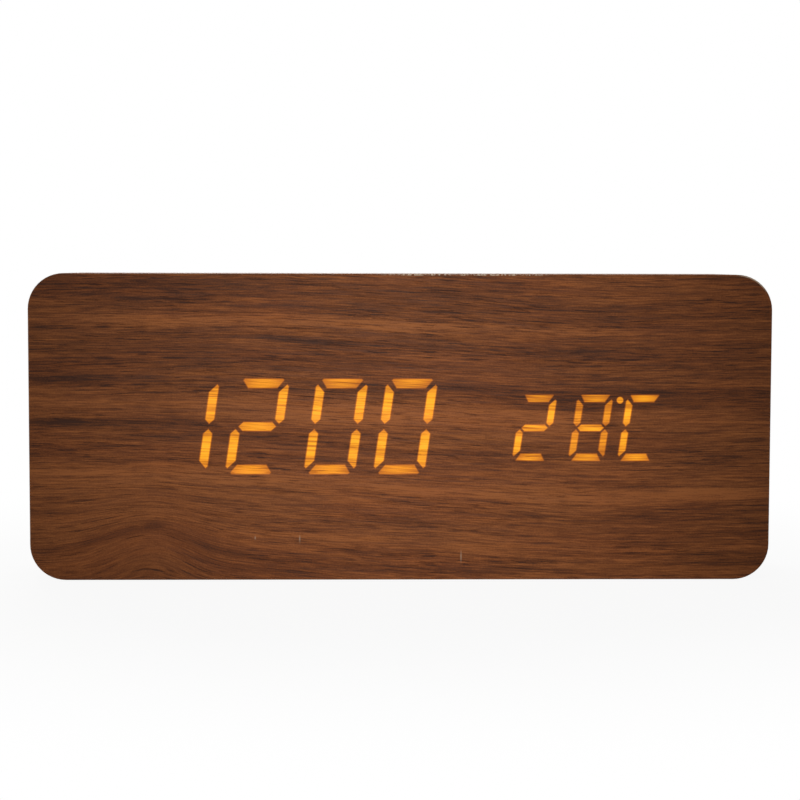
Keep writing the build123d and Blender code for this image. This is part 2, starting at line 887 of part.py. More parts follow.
def make_key(place):
    """A round key with a dished top, a flange that keeps it in, and a foot on its plunger."""
    top = cover_outer + key_proud - key_foot_end
    flange_end = key_foot + key_flange_thickness
    line = Polyline((0, 0), (key_foot_radius, 0), (key_foot_radius, key_foot),
                    (key_flange_radius, key_foot), (key_flange_radius, flange_end),
                    (key_radius, flange_end), (key_radius, top), (0, top - key_dish), (0, 0))
    return turned(line, place, key_rise, key_foot_end)


def make_plunger(place):
    return rod(place, key_rise, plunger_radius, switch_top - plunger_seat,
               switch_top + plunger_rise)


def make_switches():
    """The switch bodies, each with a bore for its plunger and four feet on the board."""
    switches = []
    for place in key_places():
        body = slab(Pos(place, key_rise) * Rectangle(switch_side, switch_side),
                    control_back, switch_top)
        for side, level in corners(1, 1):
            middle = place + side * (switch_side + leg_length) / 2
            rise = key_rise + level * (switch_side / 2 - leg_inset)
            body += slab(Pos(middle, rise) * Rectangle(leg_length, leg_width),
                         control_back, control_back + leg_thickness)
        depth = plunger_seat + key_travel + plunger_gap
        body -= rod(place, key_rise, plunger_radius + plunger_gap, switch_top - depth,
                    switch_top + overrun)
        switches.append(body)
    return switches


def make_inlet():
    """The power inlet: a square body on the board and a round nozzle through the cover."""
    nozzle_end = cover_outer - inlet_scoop_depth - inlet_nozzle_sink
    block = Pos(inlet_place, inlet_rise) * Rectangle(inlet_side, inlet_side)
    body = slab(block, control_back, cover_inner - inlet_shoulder_gap)
    body += post(inlet_place, inlet_rise, inlet_nozzle_radius, control_back, nozzle_end)
    return body - post(inlet_place, inlet_rise, inlet_bore_radius, nozzle_end - inlet_bore_depth,
                       nozzle_end + overrun)


def make_inlet_contacts():
    """The centre pin with its bevelled end, and the side spring in the bore."""
    nozzle_end = cover_outer - inlet_scoop_depth - inlet_nozzle_sink
    bottom = nozzle_end - inlet_bore_depth
    length = inlet_bore_depth - inlet_pin_sink
    line = Polyline((0, 0), (inlet_pin_radius, 0), (inlet_pin_radius, length - inlet_pin_radius),
                    (inlet_pin_radius / 2, length), (0, length), (0, 0))
    pin = turned(line, inlet_place, inlet_rise, bottom)
    edge = inlet_rise - inlet_bore_radius + inlet_contact_thickness
    strip = Pos(inlet_place, edge) * Rectangle(inlet_contact_width, inlet_contact_thickness)
    return [pin, slab(strip, bottom, nozzle_end - inlet_bore_depth / 2)]


def make_buzzer():
    top = buzzer_height
    line = Polyline((0, 0), (buzzer_radius, 0), (buzzer_radius, top), (buzzer_port_radius, top),
                    (buzzer_port_radius, top - buzzer_port_depth), (0, top - buzzer_port_depth),
                    (0, 0))
    return turned(line, buzzer_place, buzzer_rise, control_back)


def wire(path, radius):
    """A thin wire of six flats along a path."""
    ground = Plane(origin=path @ 0, z_dir=path % 0)
    return sweep(ground * RegularPolygon(radius, lead_side_count), path=path)


def make_thermistor():
    """A disc-shaped bead on two bent legs, held just behind the air slots."""
    top = cover_inner - bead_cover_gap - bead_radius
    middle = clock_height / 2 + bead_rise
    bead = Pos(bead_place, top, middle) * Cylinder(bead_radius, bead_thickness)
    for side in (-1, 1):
        foot = bead_place + side * bead_leg_spread
        neck = bead_place + side * bead_radius / 2
        path = FilletPolyline((foot, control_back, middle), (foot, top - 2 * bead_radius, middle),
                              (neck, top, middle), radius=bead_leg_bend)
        bead += wire(path, bead_leg_radius)
    return bead


def make_crystal():
    """A drawn metal can with a rim round its base."""
    can = Pos(crystal_place, crystal_rise) * SlotOverall(crystal_length, crystal_width)
    rim = Pos(crystal_place, crystal_rise) * SlotOverall(crystal_length + 2 * crystal_rim,
                                                         crystal_width + 2 * crystal_rim)
    body = slab(can, control_front - crystal_height, control_front)
    body += slab(rim, control_front - crystal_rim_height, control_front)
    return chamfer(body.faces().sort_by(Axis.Y)[0].edges(), crystal_rim)


def make_capacitors():
    """Two capacitor cans that stand beside each other."""
    return [post(capacitor_place + side * capacitor_pitch / 2, capacitor_rise,
                 capacitor_radius, control_front - capacitor_height, control_front)
            for side in (-1, 1)]


def make_plug(place, seat, outward):
    """A board plug, open on top where the ribbon goes in."""
    far = seat + outward * plug_height
    lip = far - outward * plug_slot_depth
    outline = Pos(place, plug_rise) * Rectangle(plug_width, plug_length)
    mouth = Pos(place, plug_rise) * Rectangle(plug_width / 2, ribbon_width + ribbon_thickness)
    body = slab(outline, min(seat, far), max(seat, far))
    return body - slab(mouth, min(lip, far + outward * overrun), max(lip, far + outward * overrun))


def make_plugs():
    return [make_plug(display_plug_place, display_back, 1),
            make_plug(control_plug_place, control_front, -1)]


def make_ribbon():
    """The flat cable from the display board to the control board, in two easy bends."""
    start = display_back + plug_height - plug_slot_depth
    end = control_front - plug_height + plug_slot_depth
    middle = (start + end) / 2
    height = clock_height / 2 + plug_rise
    path = FilletPolyline((display_plug_place, start, height), (display_plug_place, middle, height),
                          (control_plug_place, middle, height), (control_plug_place, end, height),
                          radius=ribbon_bend)
    ground = Plane(origin=path @ 0, x_dir=(1, 0, 0), z_dir=path % 0)
    return sweep(ground * Rectangle(ribbon_thickness, ribbon_width), path=path)


def make_lead(points):
    return wire(FilletPolyline(*points, radius=lead_bend), lead_radius)


def make_battery_leads():
    """Two insulated wires from the ends of the battery bay to the control board."""
    near = clock_height / 2 + lead_inner_rise
    depth = control_front - lead_lift
    board_x = control_place - control_width / 2 + lead_board_inset
    wall = bay_end + tub_wall
    far_wall = bay_start - tub_wall
    low = clock_height / 2 + tub_bottom - lead_outer_drop
    end_low = near - lead_board_pitch
    short = [(wall, depth, near), (board_x, depth, near), (board_x, control_front, near)]
    far_rise = clock_height / 2 + bay_rise - cell_pitch
    long = [(far_wall, depth, far_rise), (far_wall - lead_clearance, depth, far_rise),
            (far_wall - lead_clearance, depth, low), (wall + lead_clearance, depth, low),
            (wall + 2 * lead_clearance, depth, end_low), (board_x, depth, end_low),
            (board_x, control_front, end_low)]
    return [make_lead(short), make_lead(long)]


def screws_at(places, seat, towards_back=1):
    return [small_screw(place, rise, seat, towards_back) for place, rise in places]


def make_all():
    cover_seat = cover_outer - cover_screw_sink
    nodes = {
        "case_frame": make_case_frame(),
        "front_veneer": make_front_veneer(),
        "edge_veneer": make_edge_veneer(),
        "diffuser_film": make_diffuser_film(),
        "time_light_box": make_light_box(time_row),
        "temperature_light_box": make_light_box(heat_row),
        "display_board": make_display_board(),
        "time_leds": make_leds(time_row),
        "temperature_leds": make_leds(heat_row),
        "driver_chips": make_driver_chips(),
        "light_box_screws": screws_at(box_screw_places(time_row) + box_screw_places(heat_row),
                                      display_back),
        "display_mount_screws": screws_at(display_screw_places(), display_back),
        "back_cover": make_back_cover(),
        "cover_screws": [case_screw(place, rise, cover_seat)
                         for place, rise in cover_screw_places()],
        "battery_door": make_battery_door(),
        "battery_cells": make_cells(),
        "battery_plates": make_plates(),
        "battery_springs": make_springs(),
        "battery_leads": make_battery_leads(),
        "control_board": make_control_board(),
        "control_board_screws": screws_at(control_boss_places(), control_front, -1),
        "control_chip": make_chip(control_chip_place, control_chip_rise, control_front,
                                  control_lead_count, -1),
        "crystal": make_crystal(),
        "capacitors": make_capacitors(),
        "buzzer": make_buzzer(),
        "thermistor": make_thermistor(),
        "power_inlet": make_inlet(),
        "inlet_contacts": make_inlet_contacts(),
        "board_plugs": make_plugs(),
        "board_ribbon": make_ribbon(),
        "key_switches": make_switches(),
    }
    for name, place in zip(("down", "up", "set"), key_places()):
        nodes[name + "_key"] = make_key(place)
        nodes[name + "_plunger"] = make_plunger(place)
    return nodes


os.makedirs("parts", exist_ok=True)
for node_name, shape in make_all().items():
    solids = shape if isinstance(shape, list) else [shape]
    bodies = [body for solid in solids for body in solid.solids()]
    whole = bodies[0] if len(bodies) == 1 else Compound(children=bodies)
    export_step(whole, "parts/" + node_name + ".step")
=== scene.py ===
import bpy
from math import exp, radians
from mathutils import Matrix, Vector


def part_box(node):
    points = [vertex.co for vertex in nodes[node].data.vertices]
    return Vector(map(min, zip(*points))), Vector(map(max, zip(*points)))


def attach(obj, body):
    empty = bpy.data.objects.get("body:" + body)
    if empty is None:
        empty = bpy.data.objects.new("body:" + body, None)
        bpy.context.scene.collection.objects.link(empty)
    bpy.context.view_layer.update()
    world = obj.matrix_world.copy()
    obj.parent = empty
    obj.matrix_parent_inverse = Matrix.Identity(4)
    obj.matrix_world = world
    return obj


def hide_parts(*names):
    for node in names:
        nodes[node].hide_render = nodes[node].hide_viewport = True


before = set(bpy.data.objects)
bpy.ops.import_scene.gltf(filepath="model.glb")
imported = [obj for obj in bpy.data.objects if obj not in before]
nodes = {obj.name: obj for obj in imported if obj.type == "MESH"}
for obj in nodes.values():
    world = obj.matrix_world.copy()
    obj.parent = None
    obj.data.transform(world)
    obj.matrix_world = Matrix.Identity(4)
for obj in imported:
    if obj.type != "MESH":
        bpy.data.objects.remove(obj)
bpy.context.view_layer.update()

# The camera stands half a metre in front of the face, a little to its left and just above the
# top edge, and looks slightly down. It is fitted to the four corners of the block, so its
# focal length is given in the picture's pixels and its turns in radians.
picture_width, focal_length = 800, 1969.2
camera_place = (-0.0145, -0.569, 0.089)
camera_turn, camera_tilt, camera_roll = -0.0256, -0.0694, -0.0027
camera_data = bpy.data.cameras.new("camera")
camera_data.sensor_width = 36
camera_data.lens = focal_length / picture_width * camera_data.sensor_width
camera = bpy.data.objects.new("camera", camera_data)
bpy.context.scene.collection.objects.link(camera)
facing_back = Matrix.Rotation(radians(90), 4, "X")
aim = (Matrix.Rotation(camera_turn, 4, "Z") @ Matrix.Rotation(camera_tilt, 4, "X")
       @ Matrix.Rotation(camera_roll, 4, "Y"))
camera.matrix_world = Matrix.Translation(camera_place) @ aim @ facing_back
bpy.context.scene.camera = camera
bpy.context.scene.view_settings.view_transform = "Standard"


# The front veneer: a sheet of walnut 0.6 mm thick, glued over the whole face, thin enough for
# the lit digits behind it to shine through. Its colour, figure and glow are all worked out
# from the place on the sheet, in millimetres.
class Tint:
    """A value or colour inside one finish. Sums on it add the nodes that they need."""

    def __init__(self, finish, socket=None):
        self.finish = finish
        self.socket = socket

    def node(self, kind, settings, values, output=0):
        """Adds a node: its settings first, then the values or links of its sockets."""
        made = self.finish.node_tree.nodes.new("ShaderNode" + kind)
        for name, setting in settings.items():
            if name == "stops":
                while len(made.color_ramp.elements) < len(setting):
                    made.color_ramp.elements.new(1)
                for stop, (place, colour) in zip(made.color_ramp.elements, setting):
                    stop.position = place
                    stop.color = (*colour, 1)
            else:
                setattr(made, name, setting)
        for name, value in values.items():
            if isinstance(value, Tint):
                self.finish.node_tree.links.new(value.socket, made.inputs[name])
            else:
                made.inputs[name].default_value = value
        return Tint(self.finish, made.outputs[output])

    def maths(self, operation, first, second=0.0, clamp=False):
        return self.node("Math", {"operation": operation, "use_clamp": clamp},
                         {0: first, 1: second})

    def __add__(self, other):
        return self.maths("ADD", self, other)

    def __radd__(self, other):
        return self.maths("ADD", other, self)

    def __sub__(self, other):
        return self.maths("SUBTRACT", self, other)

    def __rsub__(self, other):
        return self.maths("SUBTRACT", other, self)

    def __mul__(self, other):
        return self.maths("MULTIPLY", self, other)

    def __rmul__(self, other):
        return self.maths("MULTIPLY", other, self)

    def __truediv__(self, other):
        return self.maths("DIVIDE", self, other)

    def __pow__(self, other):
        return self.maths("POWER", self, other)

    def __abs__(self):
        return self.maths("ABSOLUTE", self)

    def over(self, edge):
        """1 where the value is greater than the edge, 0 elsewhere."""
        return self.maths("GREATER_THAN", self, edge)

    def under(self, edge):
        return self.maths("LESS_THAN", self, edge)

    def held(self):
        """The value kept between 0 and 1."""
        return self.maths("ADD", self, 0.0, True)

    def most(self, other):
        return self.maths("MAXIMUM", self, other)

    def least(self, other):
        return self.maths("MINIMUM", self, other)

    def rise(self, low, high):
        """0 below low and 1 above high, with an easy slope between. High may be the lower."""
        return self.node("MapRange", {"interpolation_type": "SMOOTHSTEP"},
                         {"Value": self, "From Min": low, "From Max": high})

    def bell(self, middle, half):
        """1 at the middle, falling away to nothing at about twice the half width."""
        distance = (self - middle) / half
        return self.maths("EXPONENT", 0 - distance * distance)

    def place(self):
        """Where a point lies on the clock, in millimetres: across, deep and up."""
        spot = self.node("TexCoord", {}, {}, "Object")
        return [self.node("SeparateXYZ", {}, {"Vector": spot}, axis) * 1000 for axis in "XYZ"]

    def cloud(self, across, deep, up, detail=2.0, roughness=0.5):
        """Smooth noise between 0 and 1, at a place that was stretched beforehand."""
        spot = self.node("CombineXYZ", {}, {"X": across, "Y": deep, "Z": up})
        return self.node("TexNoise", {}, {"Vector": spot, "Scale": 1.0, "Detail": detail,
                                          "Roughness": roughness})

    def blend(self, first, second, kind="MIX"):
        """The first colour where this value is 0 and the second where it is 1. Sockets 0, 6
        and 7 of a Mix node are its factor and its two colours, and output 2 is its result."""
        return self.node("Mix", {"data_type": "RGBA", "blend_type": kind},
                         {0: self, 6: first, 7: second}, 2)

    def ramp(self, stops):
        return self.node("ValToRGB", {"stops": stops}, {"Fac": self})

    def bump(self, strength, distance):
        return self.node("Bump", {}, {"Height": self, "Strength": strength,
                                      "Distance": distance})

    def close(self, kind="Material"):
        """Makes this shader the one that the finish ends in."""
        made = self.finish.node_tree.nodes.new("ShaderNodeOutput" + kind)
        self.finish.node_tree.links.new(self.socket, made.inputs["Surface"])

    def surface(self, values):
        """Ends the finish in one Principled shader."""
        self.node("BsdfPrincipled", {}, values).close()


def new_finish(name):
    finish = bpy.data.materials.new(name)
    finish.use_nodes = True
    finish.node_tree.nodes.clear()
    return finish, Tint(finish)


def finish_nodes(finish, *names):
    """Gives a finish to nodes of the CAD model."""
    for name in names:
        nodes[name].material_slots[0].material = finish


def eased(value, low, high):
    """The same slope as Tint.rise, on plain numbers."""
    share = min(max((value - low) / (high - low), 0), 1)
    return share * share * (3 - 2 * share)


face_height, half_width, half_height, corner_radius = 86, 104, 43, 10
low_fall, low_start, low_end = 6.5, -85, 55
high_fall, high_start, high_end = 4.0, -45, 75


def drop_of(across, up):
    """How far the grain has sunk at a place, from its height at the left end."""
    low = low_fall * eased(across, low_start, low_end)
    high = high_fall * eased(across, high_start, high_end)
    return low + (high - low) * up / face_height


walnut_dark = (0.0460, 0.0125, 0.0035)
walnut_middle = (0.1540, 0.0430, 0.0088)
walnut_light = (0.3300, 0.1060, 0.0260)
walnut = [(0.0, walnut_dark), (0.46, walnut_middle), (1.0, walnut_light)]
rim_wood = (0.36, 0.17, 0.075, 1)
raw_wood = (0.60, 0.47, 0.33, 1)
arch_place, arch_rise, arch_height = -70, 10, 7.0
arch_half_width, arch_half_height = 15, 12
quiet_place, quiet_rise, quiet_half_width, quiet_half_height = -78, 8, 46, 17
sway_height = 2.6
face_finish, face = new_finish("walnut_face")

# The grain sinks towards the right, climbs over an arch at the lower left and sways a little.
across, deep, up = face.place()
low_drop = across.rise(low_start, low_end) * low_fall
high_drop = across.rise(high_start, high_end) * high_fall
drop = low_drop + (high_drop - low_drop) * (up / face_height)
arch_reach = ((across - arch_place) / arch_half_width) ** 2.0
arch_reach = arch_reach + ((up - arch_rise) / arch_half_height) ** 2.0
arch = face.maths("EXPONENT", 0 - arch_reach)
quiet_reach = ((across - quiet_place) / quiet_half_width) ** 2.0
quiet_reach = quiet_reach + ((up - quiet_rise) / quiet_half_height) ** 2.0
quiet = face.maths("EXPONENT", 0 - quiet_reach)
sway = (face.cloud(across * 0.014, 2.0, up * 0.03) - 0.5) * sway_height
grain = up + drop - arch * arch_height + sway

# Noise of five sizes makes the grain, from broad bands to grit: each has its fineness along
# the grain and over it, and the middle place of a cloud only picks its slice of the noise.
# Round the arch the wood is quiet, and its streaks, fibres, threads and hair lines are weaker.
broad_along, broad_over = 0.006, 0.11
streak_along, streak_over = 0.024, 0.52
fibre_along, fibre_over = 0.062, 2.2
thread_along, thread_over = 0.21, 3.6
pore_along, pore_over, pore_edges = 0.15, 2.9, (0.60, 0.65)
hair_along, hair_edges = 0.048, (0.585, 0.635)
lively = 1 - quiet * 0.45 - arch * 0.25
broad = face.cloud(across * broad_along, 3.1, grain * broad_over, 2.0) - 0.5
streak = face.cloud(across * streak_along, 7.7, grain * streak_over, 2.0, 0.6) - 0.5
fibre = face.cloud(across * fibre_along, 1.3, grain * fibre_over, 2.0, 0.72) - 0.5
thread = face.cloud(across * thread_along, 2.2, grain * thread_over) - 0.5
grit = face.cloud(across * 2.0, 8.1, up * 3.6) - 0.5
tone = 0.525 + broad * 0.72 + streak * lively * 0.80 + fibre * lively * 1.10
tone = tone + thread * (lively * 0.5 + 0.5) * 1.05 + grit * 0.62

# Bands and lines of the figure, with broad bands of painted shade and painted light: start and end
# across the face, height at the middle, half width and strength. The wood is paler where the
# strength is above nought. The widest bands, at 80 mm up near the top and at 10 and 12 mm up near
# the bottom, are painted shade and painted light: they make the top of the face darker and its
# bottom paler.
figure_and_painted_shade = [
    (-104, 104, 71.8, 1.5, 0.2), (-85, 10, 72.2, 0.9, 0.2), (-58, 52, 46.0, 4.2, 0.34),
    (-104, -56, 49.4, 2.2, 0.16), (-104, -52, 44.3, 0.8, -0.34), (-104, -30, 32.6, 2.6, 0.14),
    (-104, -10, 28.6, 0.8, -0.28), (-104, 104, 25.6, 2.0, 0.34), (-60, 104, 22.4, 0.8, -0.14),
    (-104, 104, 80.0, 5.0, -0.12), (-78, -53, 79.0, 0.4, -0.34), (-66, -52, 75.7, 0.3, -0.26),
    (-104, -82, 56.2, 1.3, -0.26), (8, 104, 52.7, 0.5, -0.26), (-50, 0, 53.5, 0.5, -0.18),
    (-85.4, -80.7, 62.5, 0.3, -0.5), (-73.6, -71.1, 63.4, 0.3, -0.45),
    (-67.2, -60.2, 62.3, 0.3, -0.5), (-75.6, -71.1, 69.8, 0.3, -0.4), (-103, -96, 71.5, 0.4, -0.4),
    (-94.4, -90.4, 71.2, 0.3, -0.4), (-86, -81.5, 71.5, 0.3, -0.4), (-90, -74, 12.8, 1.0, -0.16),
    (-58, -44, 8.6, 0.7, -0.2), (-72, -67, 15.6, 1.1, -0.34), (-86, -56, 14.8, 1.5, -0.1),
    (20, 100, 62.0, 0.6, -0.16), (-40, 40, 66.0, 0.6, -0.16), (30, 104, 14.0, 0.7, -0.2),
    (-20, 60, 6.0, 0.7, -0.18), (-104, -60, 20.0, 1.0, -0.1), (-104, -60, 80.0, 7.0, -0.1),
    (-104, -50, 61.5, 5.0, -0.12), (34, 104, 62.0, 7.0, -0.12), (-104, 104, 54.0, 3.0, -0.13),
    (-78, 10, 54.0, 3.0, -0.14), (56, 104, 46.5, 4.5, 0.22), (72, 104, 27.0, 3.5, 0.16),
    (-104, 20, 37.0, 6.0, 0.08), (-20, 60, 21.5, 3.0, 0.16), (-104, 104, 12.0, 12.0, 0.06),
    (-104, -62, 10.0, 9.0, 0.13),
]
for start, end, height, half, strength in figure_and_painted_shade:
    middle = (start + end) / 2
    arch_there = arch_height * exp(-((middle - arch_place) / arch_half_width) ** 2
                                   - ((height - arch_rise) / arch_half_height) ** 2)
    level = height + drop_of(middle, height) - arch_there
    fade = min(8, (end - start) / 3)
    reach = across.rise(start - fade, start + fade) * across.rise(end + fade, end - fade)
    tone = tone + reach * grain.bell(level, half) * strength

# Open pores, which show as short dark dashes along the grain, and hair lines, which run longer.
# The face is redder in patches, and painted shade makes it a little darker towards both ends.
crowded = face.cloud(across * 0.02, 9.4, grain * 0.2).rise(0.36, 0.58)
pores = face.cloud(across * pore_along, 5.5, grain * pore_over).rise(*pore_edges) * crowded
hair = face.cloud(across * hair_along, 4.2, grain * pore_over).rise(*hair_edges)
tone = tone - pores * 0.38 - hair * lively * 0.24
# Painted shade: the colour is multiplied down towards both ends of the face.
painted_end_shade = 1 - abs((across + 2) / half_width) ** 2.0 * 0.26
wood = tone.held().ramp(walnut)
redness = face.cloud(across * 0.02, 6.6, grain * 0.12).rise(0.35, 0.7) * 0.5
wood = redness.blend(wood, (1.0, 0.90, 0.86, 1), "MULTIPLY")
painted_end_shade = face.node("CombineXYZ", {}, {"X": painted_end_shade, "Y": painted_end_shade, "Z": painted_end_shade})
wood = face.node("Mix", {"data_type": "RGBA", "blend_type": "MULTIPLY"},
                 {0: 1.0, 6: wood, 7: painted_end_shade}, 2)

# The cut edge of the sheet shows as a thin pale rim, worn paler in places. The top edge and
# one corner are scuffed, and three small nicks show the raw wood.
beyond_side = (abs(across) - (half_width - corner_radius)).most(0.0)
beyond_level = (abs(up - half_height) - (half_height - corner_radius)).most(0.0)
from_corner = (beyond_side ** 2.0 + beyond_level ** 2.0) ** 0.5
worn = face.cloud(across * 0.16, deep * 0.2, up * 0.16, 3.0, 0.6)
rim_width = worn.rise(0.35, 0.7) * 0.16 + 0.10
rim = (from_corner + rim_width - corner_radius).over(0.0) * worn.rise(0.25, 0.6)
scuffed_top = across.rise(-8, 2) * across.rise(44, 34) * up.over(85.6)
scuffs = scuffed_top * face.cloud(across * 1.1, 3.0, up, 2.0).rise(0.45, 0.6)
corner_wear = across.rise(93, 97) * up.rise(80, 84) * (from_corner - 9.6).over(0.0)
wood = (rim * 0.55).blend(wood, rim_wood)
wear = (scuffs * 0.9).most(corner_wear * 0.6)
for place, rise, half in ((16.9, 6.6, 1.3), (-28.5, 11.6, 0.8), (-41.0, 11.9, 0.4)):
    wear = wear.most(across.bell(place, 0.16) * up.bell(rise, half) * 0.45)
wood = wear.blend(wood, raw_wood)


def bar_masks(row_across, row_up, column, span, bar, upright, length, near, reach, root, half,
              blunt):
    """The level bars, the middle bar and the upright bars of one digit, in its own frame.

    The uprights stand a column apart and the level bars a span. Bar is how thick a level bar
    is, and reach and root are its long and short side. An upright is upright wide and length
    long, and starts near above or below the middle. Half is half the middle bar's length, and
    blunt is what the corners of the level bars lose."""
    soft, at_outline = 0.42, 0.58
    flat_light, middle_light = 0.84, 0.89
    flat_fall, middle_fall, tall_fall = 0.36, 0.18, 0.30
    middle_thickness, end_slope, end_cut, end_blunt = 0.47, 1.05, 0.36, 0.26
    side = abs(row_across)
    level = abs(row_up)
    inner = (span - bar) / 2
    edge = (reach - root) / 2 * ((level - inner) / bar) + root / 2 - side
    edge = edge.least((span + bar + reach) / 2 - blunt - level - side)
    depth = bar / 2 - abs(level - span / 2)
    flat = (edge.least(depth) / soft + at_outline).held()
    flat_fade = 1 - (side / (reach / 2)) ** 2.0 * flat_fall
    tip = half - level - side
    middle = (tip.least(bar * middle_thickness - level) / soft + at_outline).held()
    middle_fade = 1 - (side / half) ** 2.0 * middle_fall
    off = side - column / 2
    to_side = upright / 2 - abs(off)
    to_near = level - near - abs(off)
    to_far = off * end_slope + (near + length - upright * end_cut) - level
    to_far = to_far.least(near + length + upright * end_blunt - off - level)
    tall = (to_side.least(to_near).least(to_far) / soft + at_outline).held()
    tall_fade = 1 - abs((level - near - length / 2) / (length / 2)) ** 3.0 * tall_fall
    return flat * flat_fade * flat_light, middle * middle_fade * middle_light, tall * tall_fade


def read_out(across, up):
    """The light at each place on the face: the time at the left, the temperature at the right."""
    # The time: four digits of which the first is a one, the second a two, the rest noughts.
    # The two pairs stand further apart than the digits of a pair.
    time_rise, time_slant, pitch, wide_pitch = 43.3, 0.1459, 19.5, 22.0
    first_digit, gap_shift, row_start, row_end = -59.85, 0.35, -68.0, 10.0
    first_gap = first_digit + pitch / 2 + gap_shift
    middle_gap = first_gap + (pitch + wide_pitch) / 2
    last_gap = middle_gap + (pitch + wide_pitch) / 2
    time_up = up - time_rise
    time_across = across - time_up * time_slant
    past_one = time_across.over(first_gap)
    past_two = time_across.over(middle_gap)
    past_three = time_across.over(last_gap)
    in_digit = time_across - first_digit - past_one * pitch - past_two * wide_pitch
    in_digit = in_digit - past_three * pitch
    flat, middle, tall = bar_masks(in_digit, time_up, column=11.9, span=24.15, bar=2.6,
                                   upright=2.5, length=11.1, near=0.75, reach=11.95, root=8.2,
                                   half=5.25, blunt=0.65)
    in_two = past_one * (1 - past_two)
    right = in_digit.over(0.0)
    upper = time_up.over(0.0)
    lit_right = 1 - in_two * (1 - upper)
    lit_left = upper * past_two + (1 - upper) * past_one
    lit = right * lit_right + (1 - right) * lit_left
    in_row = time_across.over(row_start) * time_across.under(row_end)
    time_glow = (flat * past_one + middle * in_two + tall * lit) * in_row

    # The temperature: a two, an eight, the dot of the degree sign and a letter C of bars.
    heat_rise, heat_slant = 42.95, 0.1441
    two_place, eight_pitch, letter_pitch = 37.4, 15.8, 13.9
    gap_shift, row_start, row_end = 0.3, 31.0, 74.0
    flat_gain, middle_gain, eight_loss = 1.08, 1.18, 0.16
    eight_start = two_place + eight_pitch / 2 + gap_shift
    letter_start = two_place + eight_pitch + letter_pitch / 2 + gap_shift
    heat_up = up - heat_rise
    heat_across = across - heat_up * heat_slant
    past_first = heat_across.over(eight_start)
    past_second = heat_across.over(letter_start)
    in_digit = heat_across - two_place - past_first * eight_pitch - past_second * letter_pitch
    flat, middle, tall = bar_masks(in_digit, heat_up, column=8.15, span=16.55, bar=1.95,
                                   upright=1.9, length=7.6, near=0.45, reach=8.1, root=5.7,
                                   half=3.7, blunt=0.15)
    in_eight = past_first * (1 - past_second)
    right = in_digit.over(0.0)
    upper = heat_up.over(0.0)
    lit_right = upper * (1 - past_second) + (1 - upper) * in_eight
    lit_left = upper * past_first + (1 - upper)
    lit = right * lit_right + (1 - right) * lit_left
    in_row = heat_across.over(row_start) * heat_across.under(row_end)
    heat_glow = flat * flat_gain + middle * (1 - past_second) * middle_gain
    heat_glow = (heat_glow + tall * lit * (1 - in_eight * eight_loss)) * in_row
    dot_place, dot_rise, dot_radius, dot_soft, dot_light = 61.4, 50.75, 0.95, 0.3, 0.9
    from_dot = ((across - dot_place) ** 2.0 + (up - dot_rise) ** 2.0) ** 0.5
    dot = ((dot_radius - from_dot) / dot_soft + 0.5).held() * dot_light
    return time_glow + heat_glow.most(dot)


# The wood veils the light: it is weaker under a dark streak, a pore or a hair line.
glow = read_out(across, up)
veil = (fibre * 1.1 + streak * 0.7 + 0.95).held() * (1 - hair * 0.15) * (1 - pores * 0.18)
glow = glow * veil
light = glow.held().ramp([(0.0, (0, 0, 0)), (0.25, (0.16, 0.036, 0.0006)),
                          (0.6, (0.49, 0.138, 0.0015)), (0.85, (0.79, 0.285, 0.0035)),
                          (1.0, (0.92, 0.42, 0.008))])
pore_depth = fibre * 0.5 + 0.5 - pores * 0.6 - hair * 0.4
face.surface({"Base Color": wood, "Roughness": 0.50 + fibre * 0.25, "IOR": 1.45,
              "Specular IOR Level": 0.12, "Emission Color": light, "Emission Strength": 1.0,
              "Normal": pore_depth.bump(0.25, 0.00012)})
finish_nodes(face_finish, "front_veneer")

# The edge veneer: a strip of the same walnut bent round the block, so that its grain runs
# along the edge on all four sides. It is sanded flush at the front and the back.
edge_finish, edge = new_finish("walnut_edge_strip")
across, deep, up = edge.place()
wander = edge.cloud(across * 0.012, deep * 0.03, up * 0.012) * 2.5
grain = deep + wander
broad = edge.cloud(across * broad_along, grain * broad_over, up * broad_along, 2.0) - 0.5
streak = edge.cloud(across * streak_along, grain * streak_over, up * streak_along, 2.0, 0.6) - 0.5
fibre = edge.cloud(across * fibre_along, grain * fibre_over, up * fibre_along, 2.0, 0.72) - 0.5
thread = edge.cloud(across * thread_along, grain * thread_over, up * thread_along) - 0.5
pores = edge.cloud(across * pore_along, grain * pore_over, up * pore_along).rise(*pore_edges)
tone = 0.52 + broad * 0.8 + streak * 0.8 + fibre * 1.10 + thread * 0.95 - pores * 0.30
wood = tone.held().ramp(walnut)
worn = edge.cloud(across * 0.16, deep * 0.2, up * 0.16, 3.0, 0.6)
rim = deep.under(-18.2).most(deep.over(18.7)) * worn.rise(0.3, 0.6)
wood = (rim * 0.5).blend(wood, rim_wood)
edge.surface({"Base Color": wood, "Roughness": 0.50 + fibre * 0.25, "IOR": 1.45,
              "Specular IOR Level": 0.12,
              "Normal": (fibre * 0.5 + 0.5 - pores * 0.6).bump(0.25, 0.00012)})
finish_nodes(edge_finish, "edge_veneer")

# The case: a block of fibreboard, sawn and milled from behind. Its back edge shows as a bare
# brown rim round the cover, with the fuzz of pressed fibre.
board_finish, board = new_finish("pressed_fibreboard")
across, deep, up = board.place()
specks = board.cloud(across * 2.6, deep * 2.6, up * 2.6, 3.0, 0.7)
patches = board.cloud(across * 0.3, deep * 0.3, up * 0.3, 2.0)
flecks = board.cloud(across * 1.1, deep * 4.0, up * 1.1, 2.0).rise(0.58, 0.7)
shade = specks * 0.6 + patches * 0.4 - flecks * 0.15
fibres = shade.held().ramp([(0.2, (0.14, 0.075, 0.036)), (0.5, (0.30, 0.185, 0.10)),
                            (0.8, (0.44, 0.30, 0.18))])
board.surface({"Base Color": fibres, "Roughness": 0.82 + specks * 0.12,
               "Specular IOR Level": 0.2, "Normal": specks.bump(0.35, 0.0001)})
finish_nodes(board_finish, "case_frame")

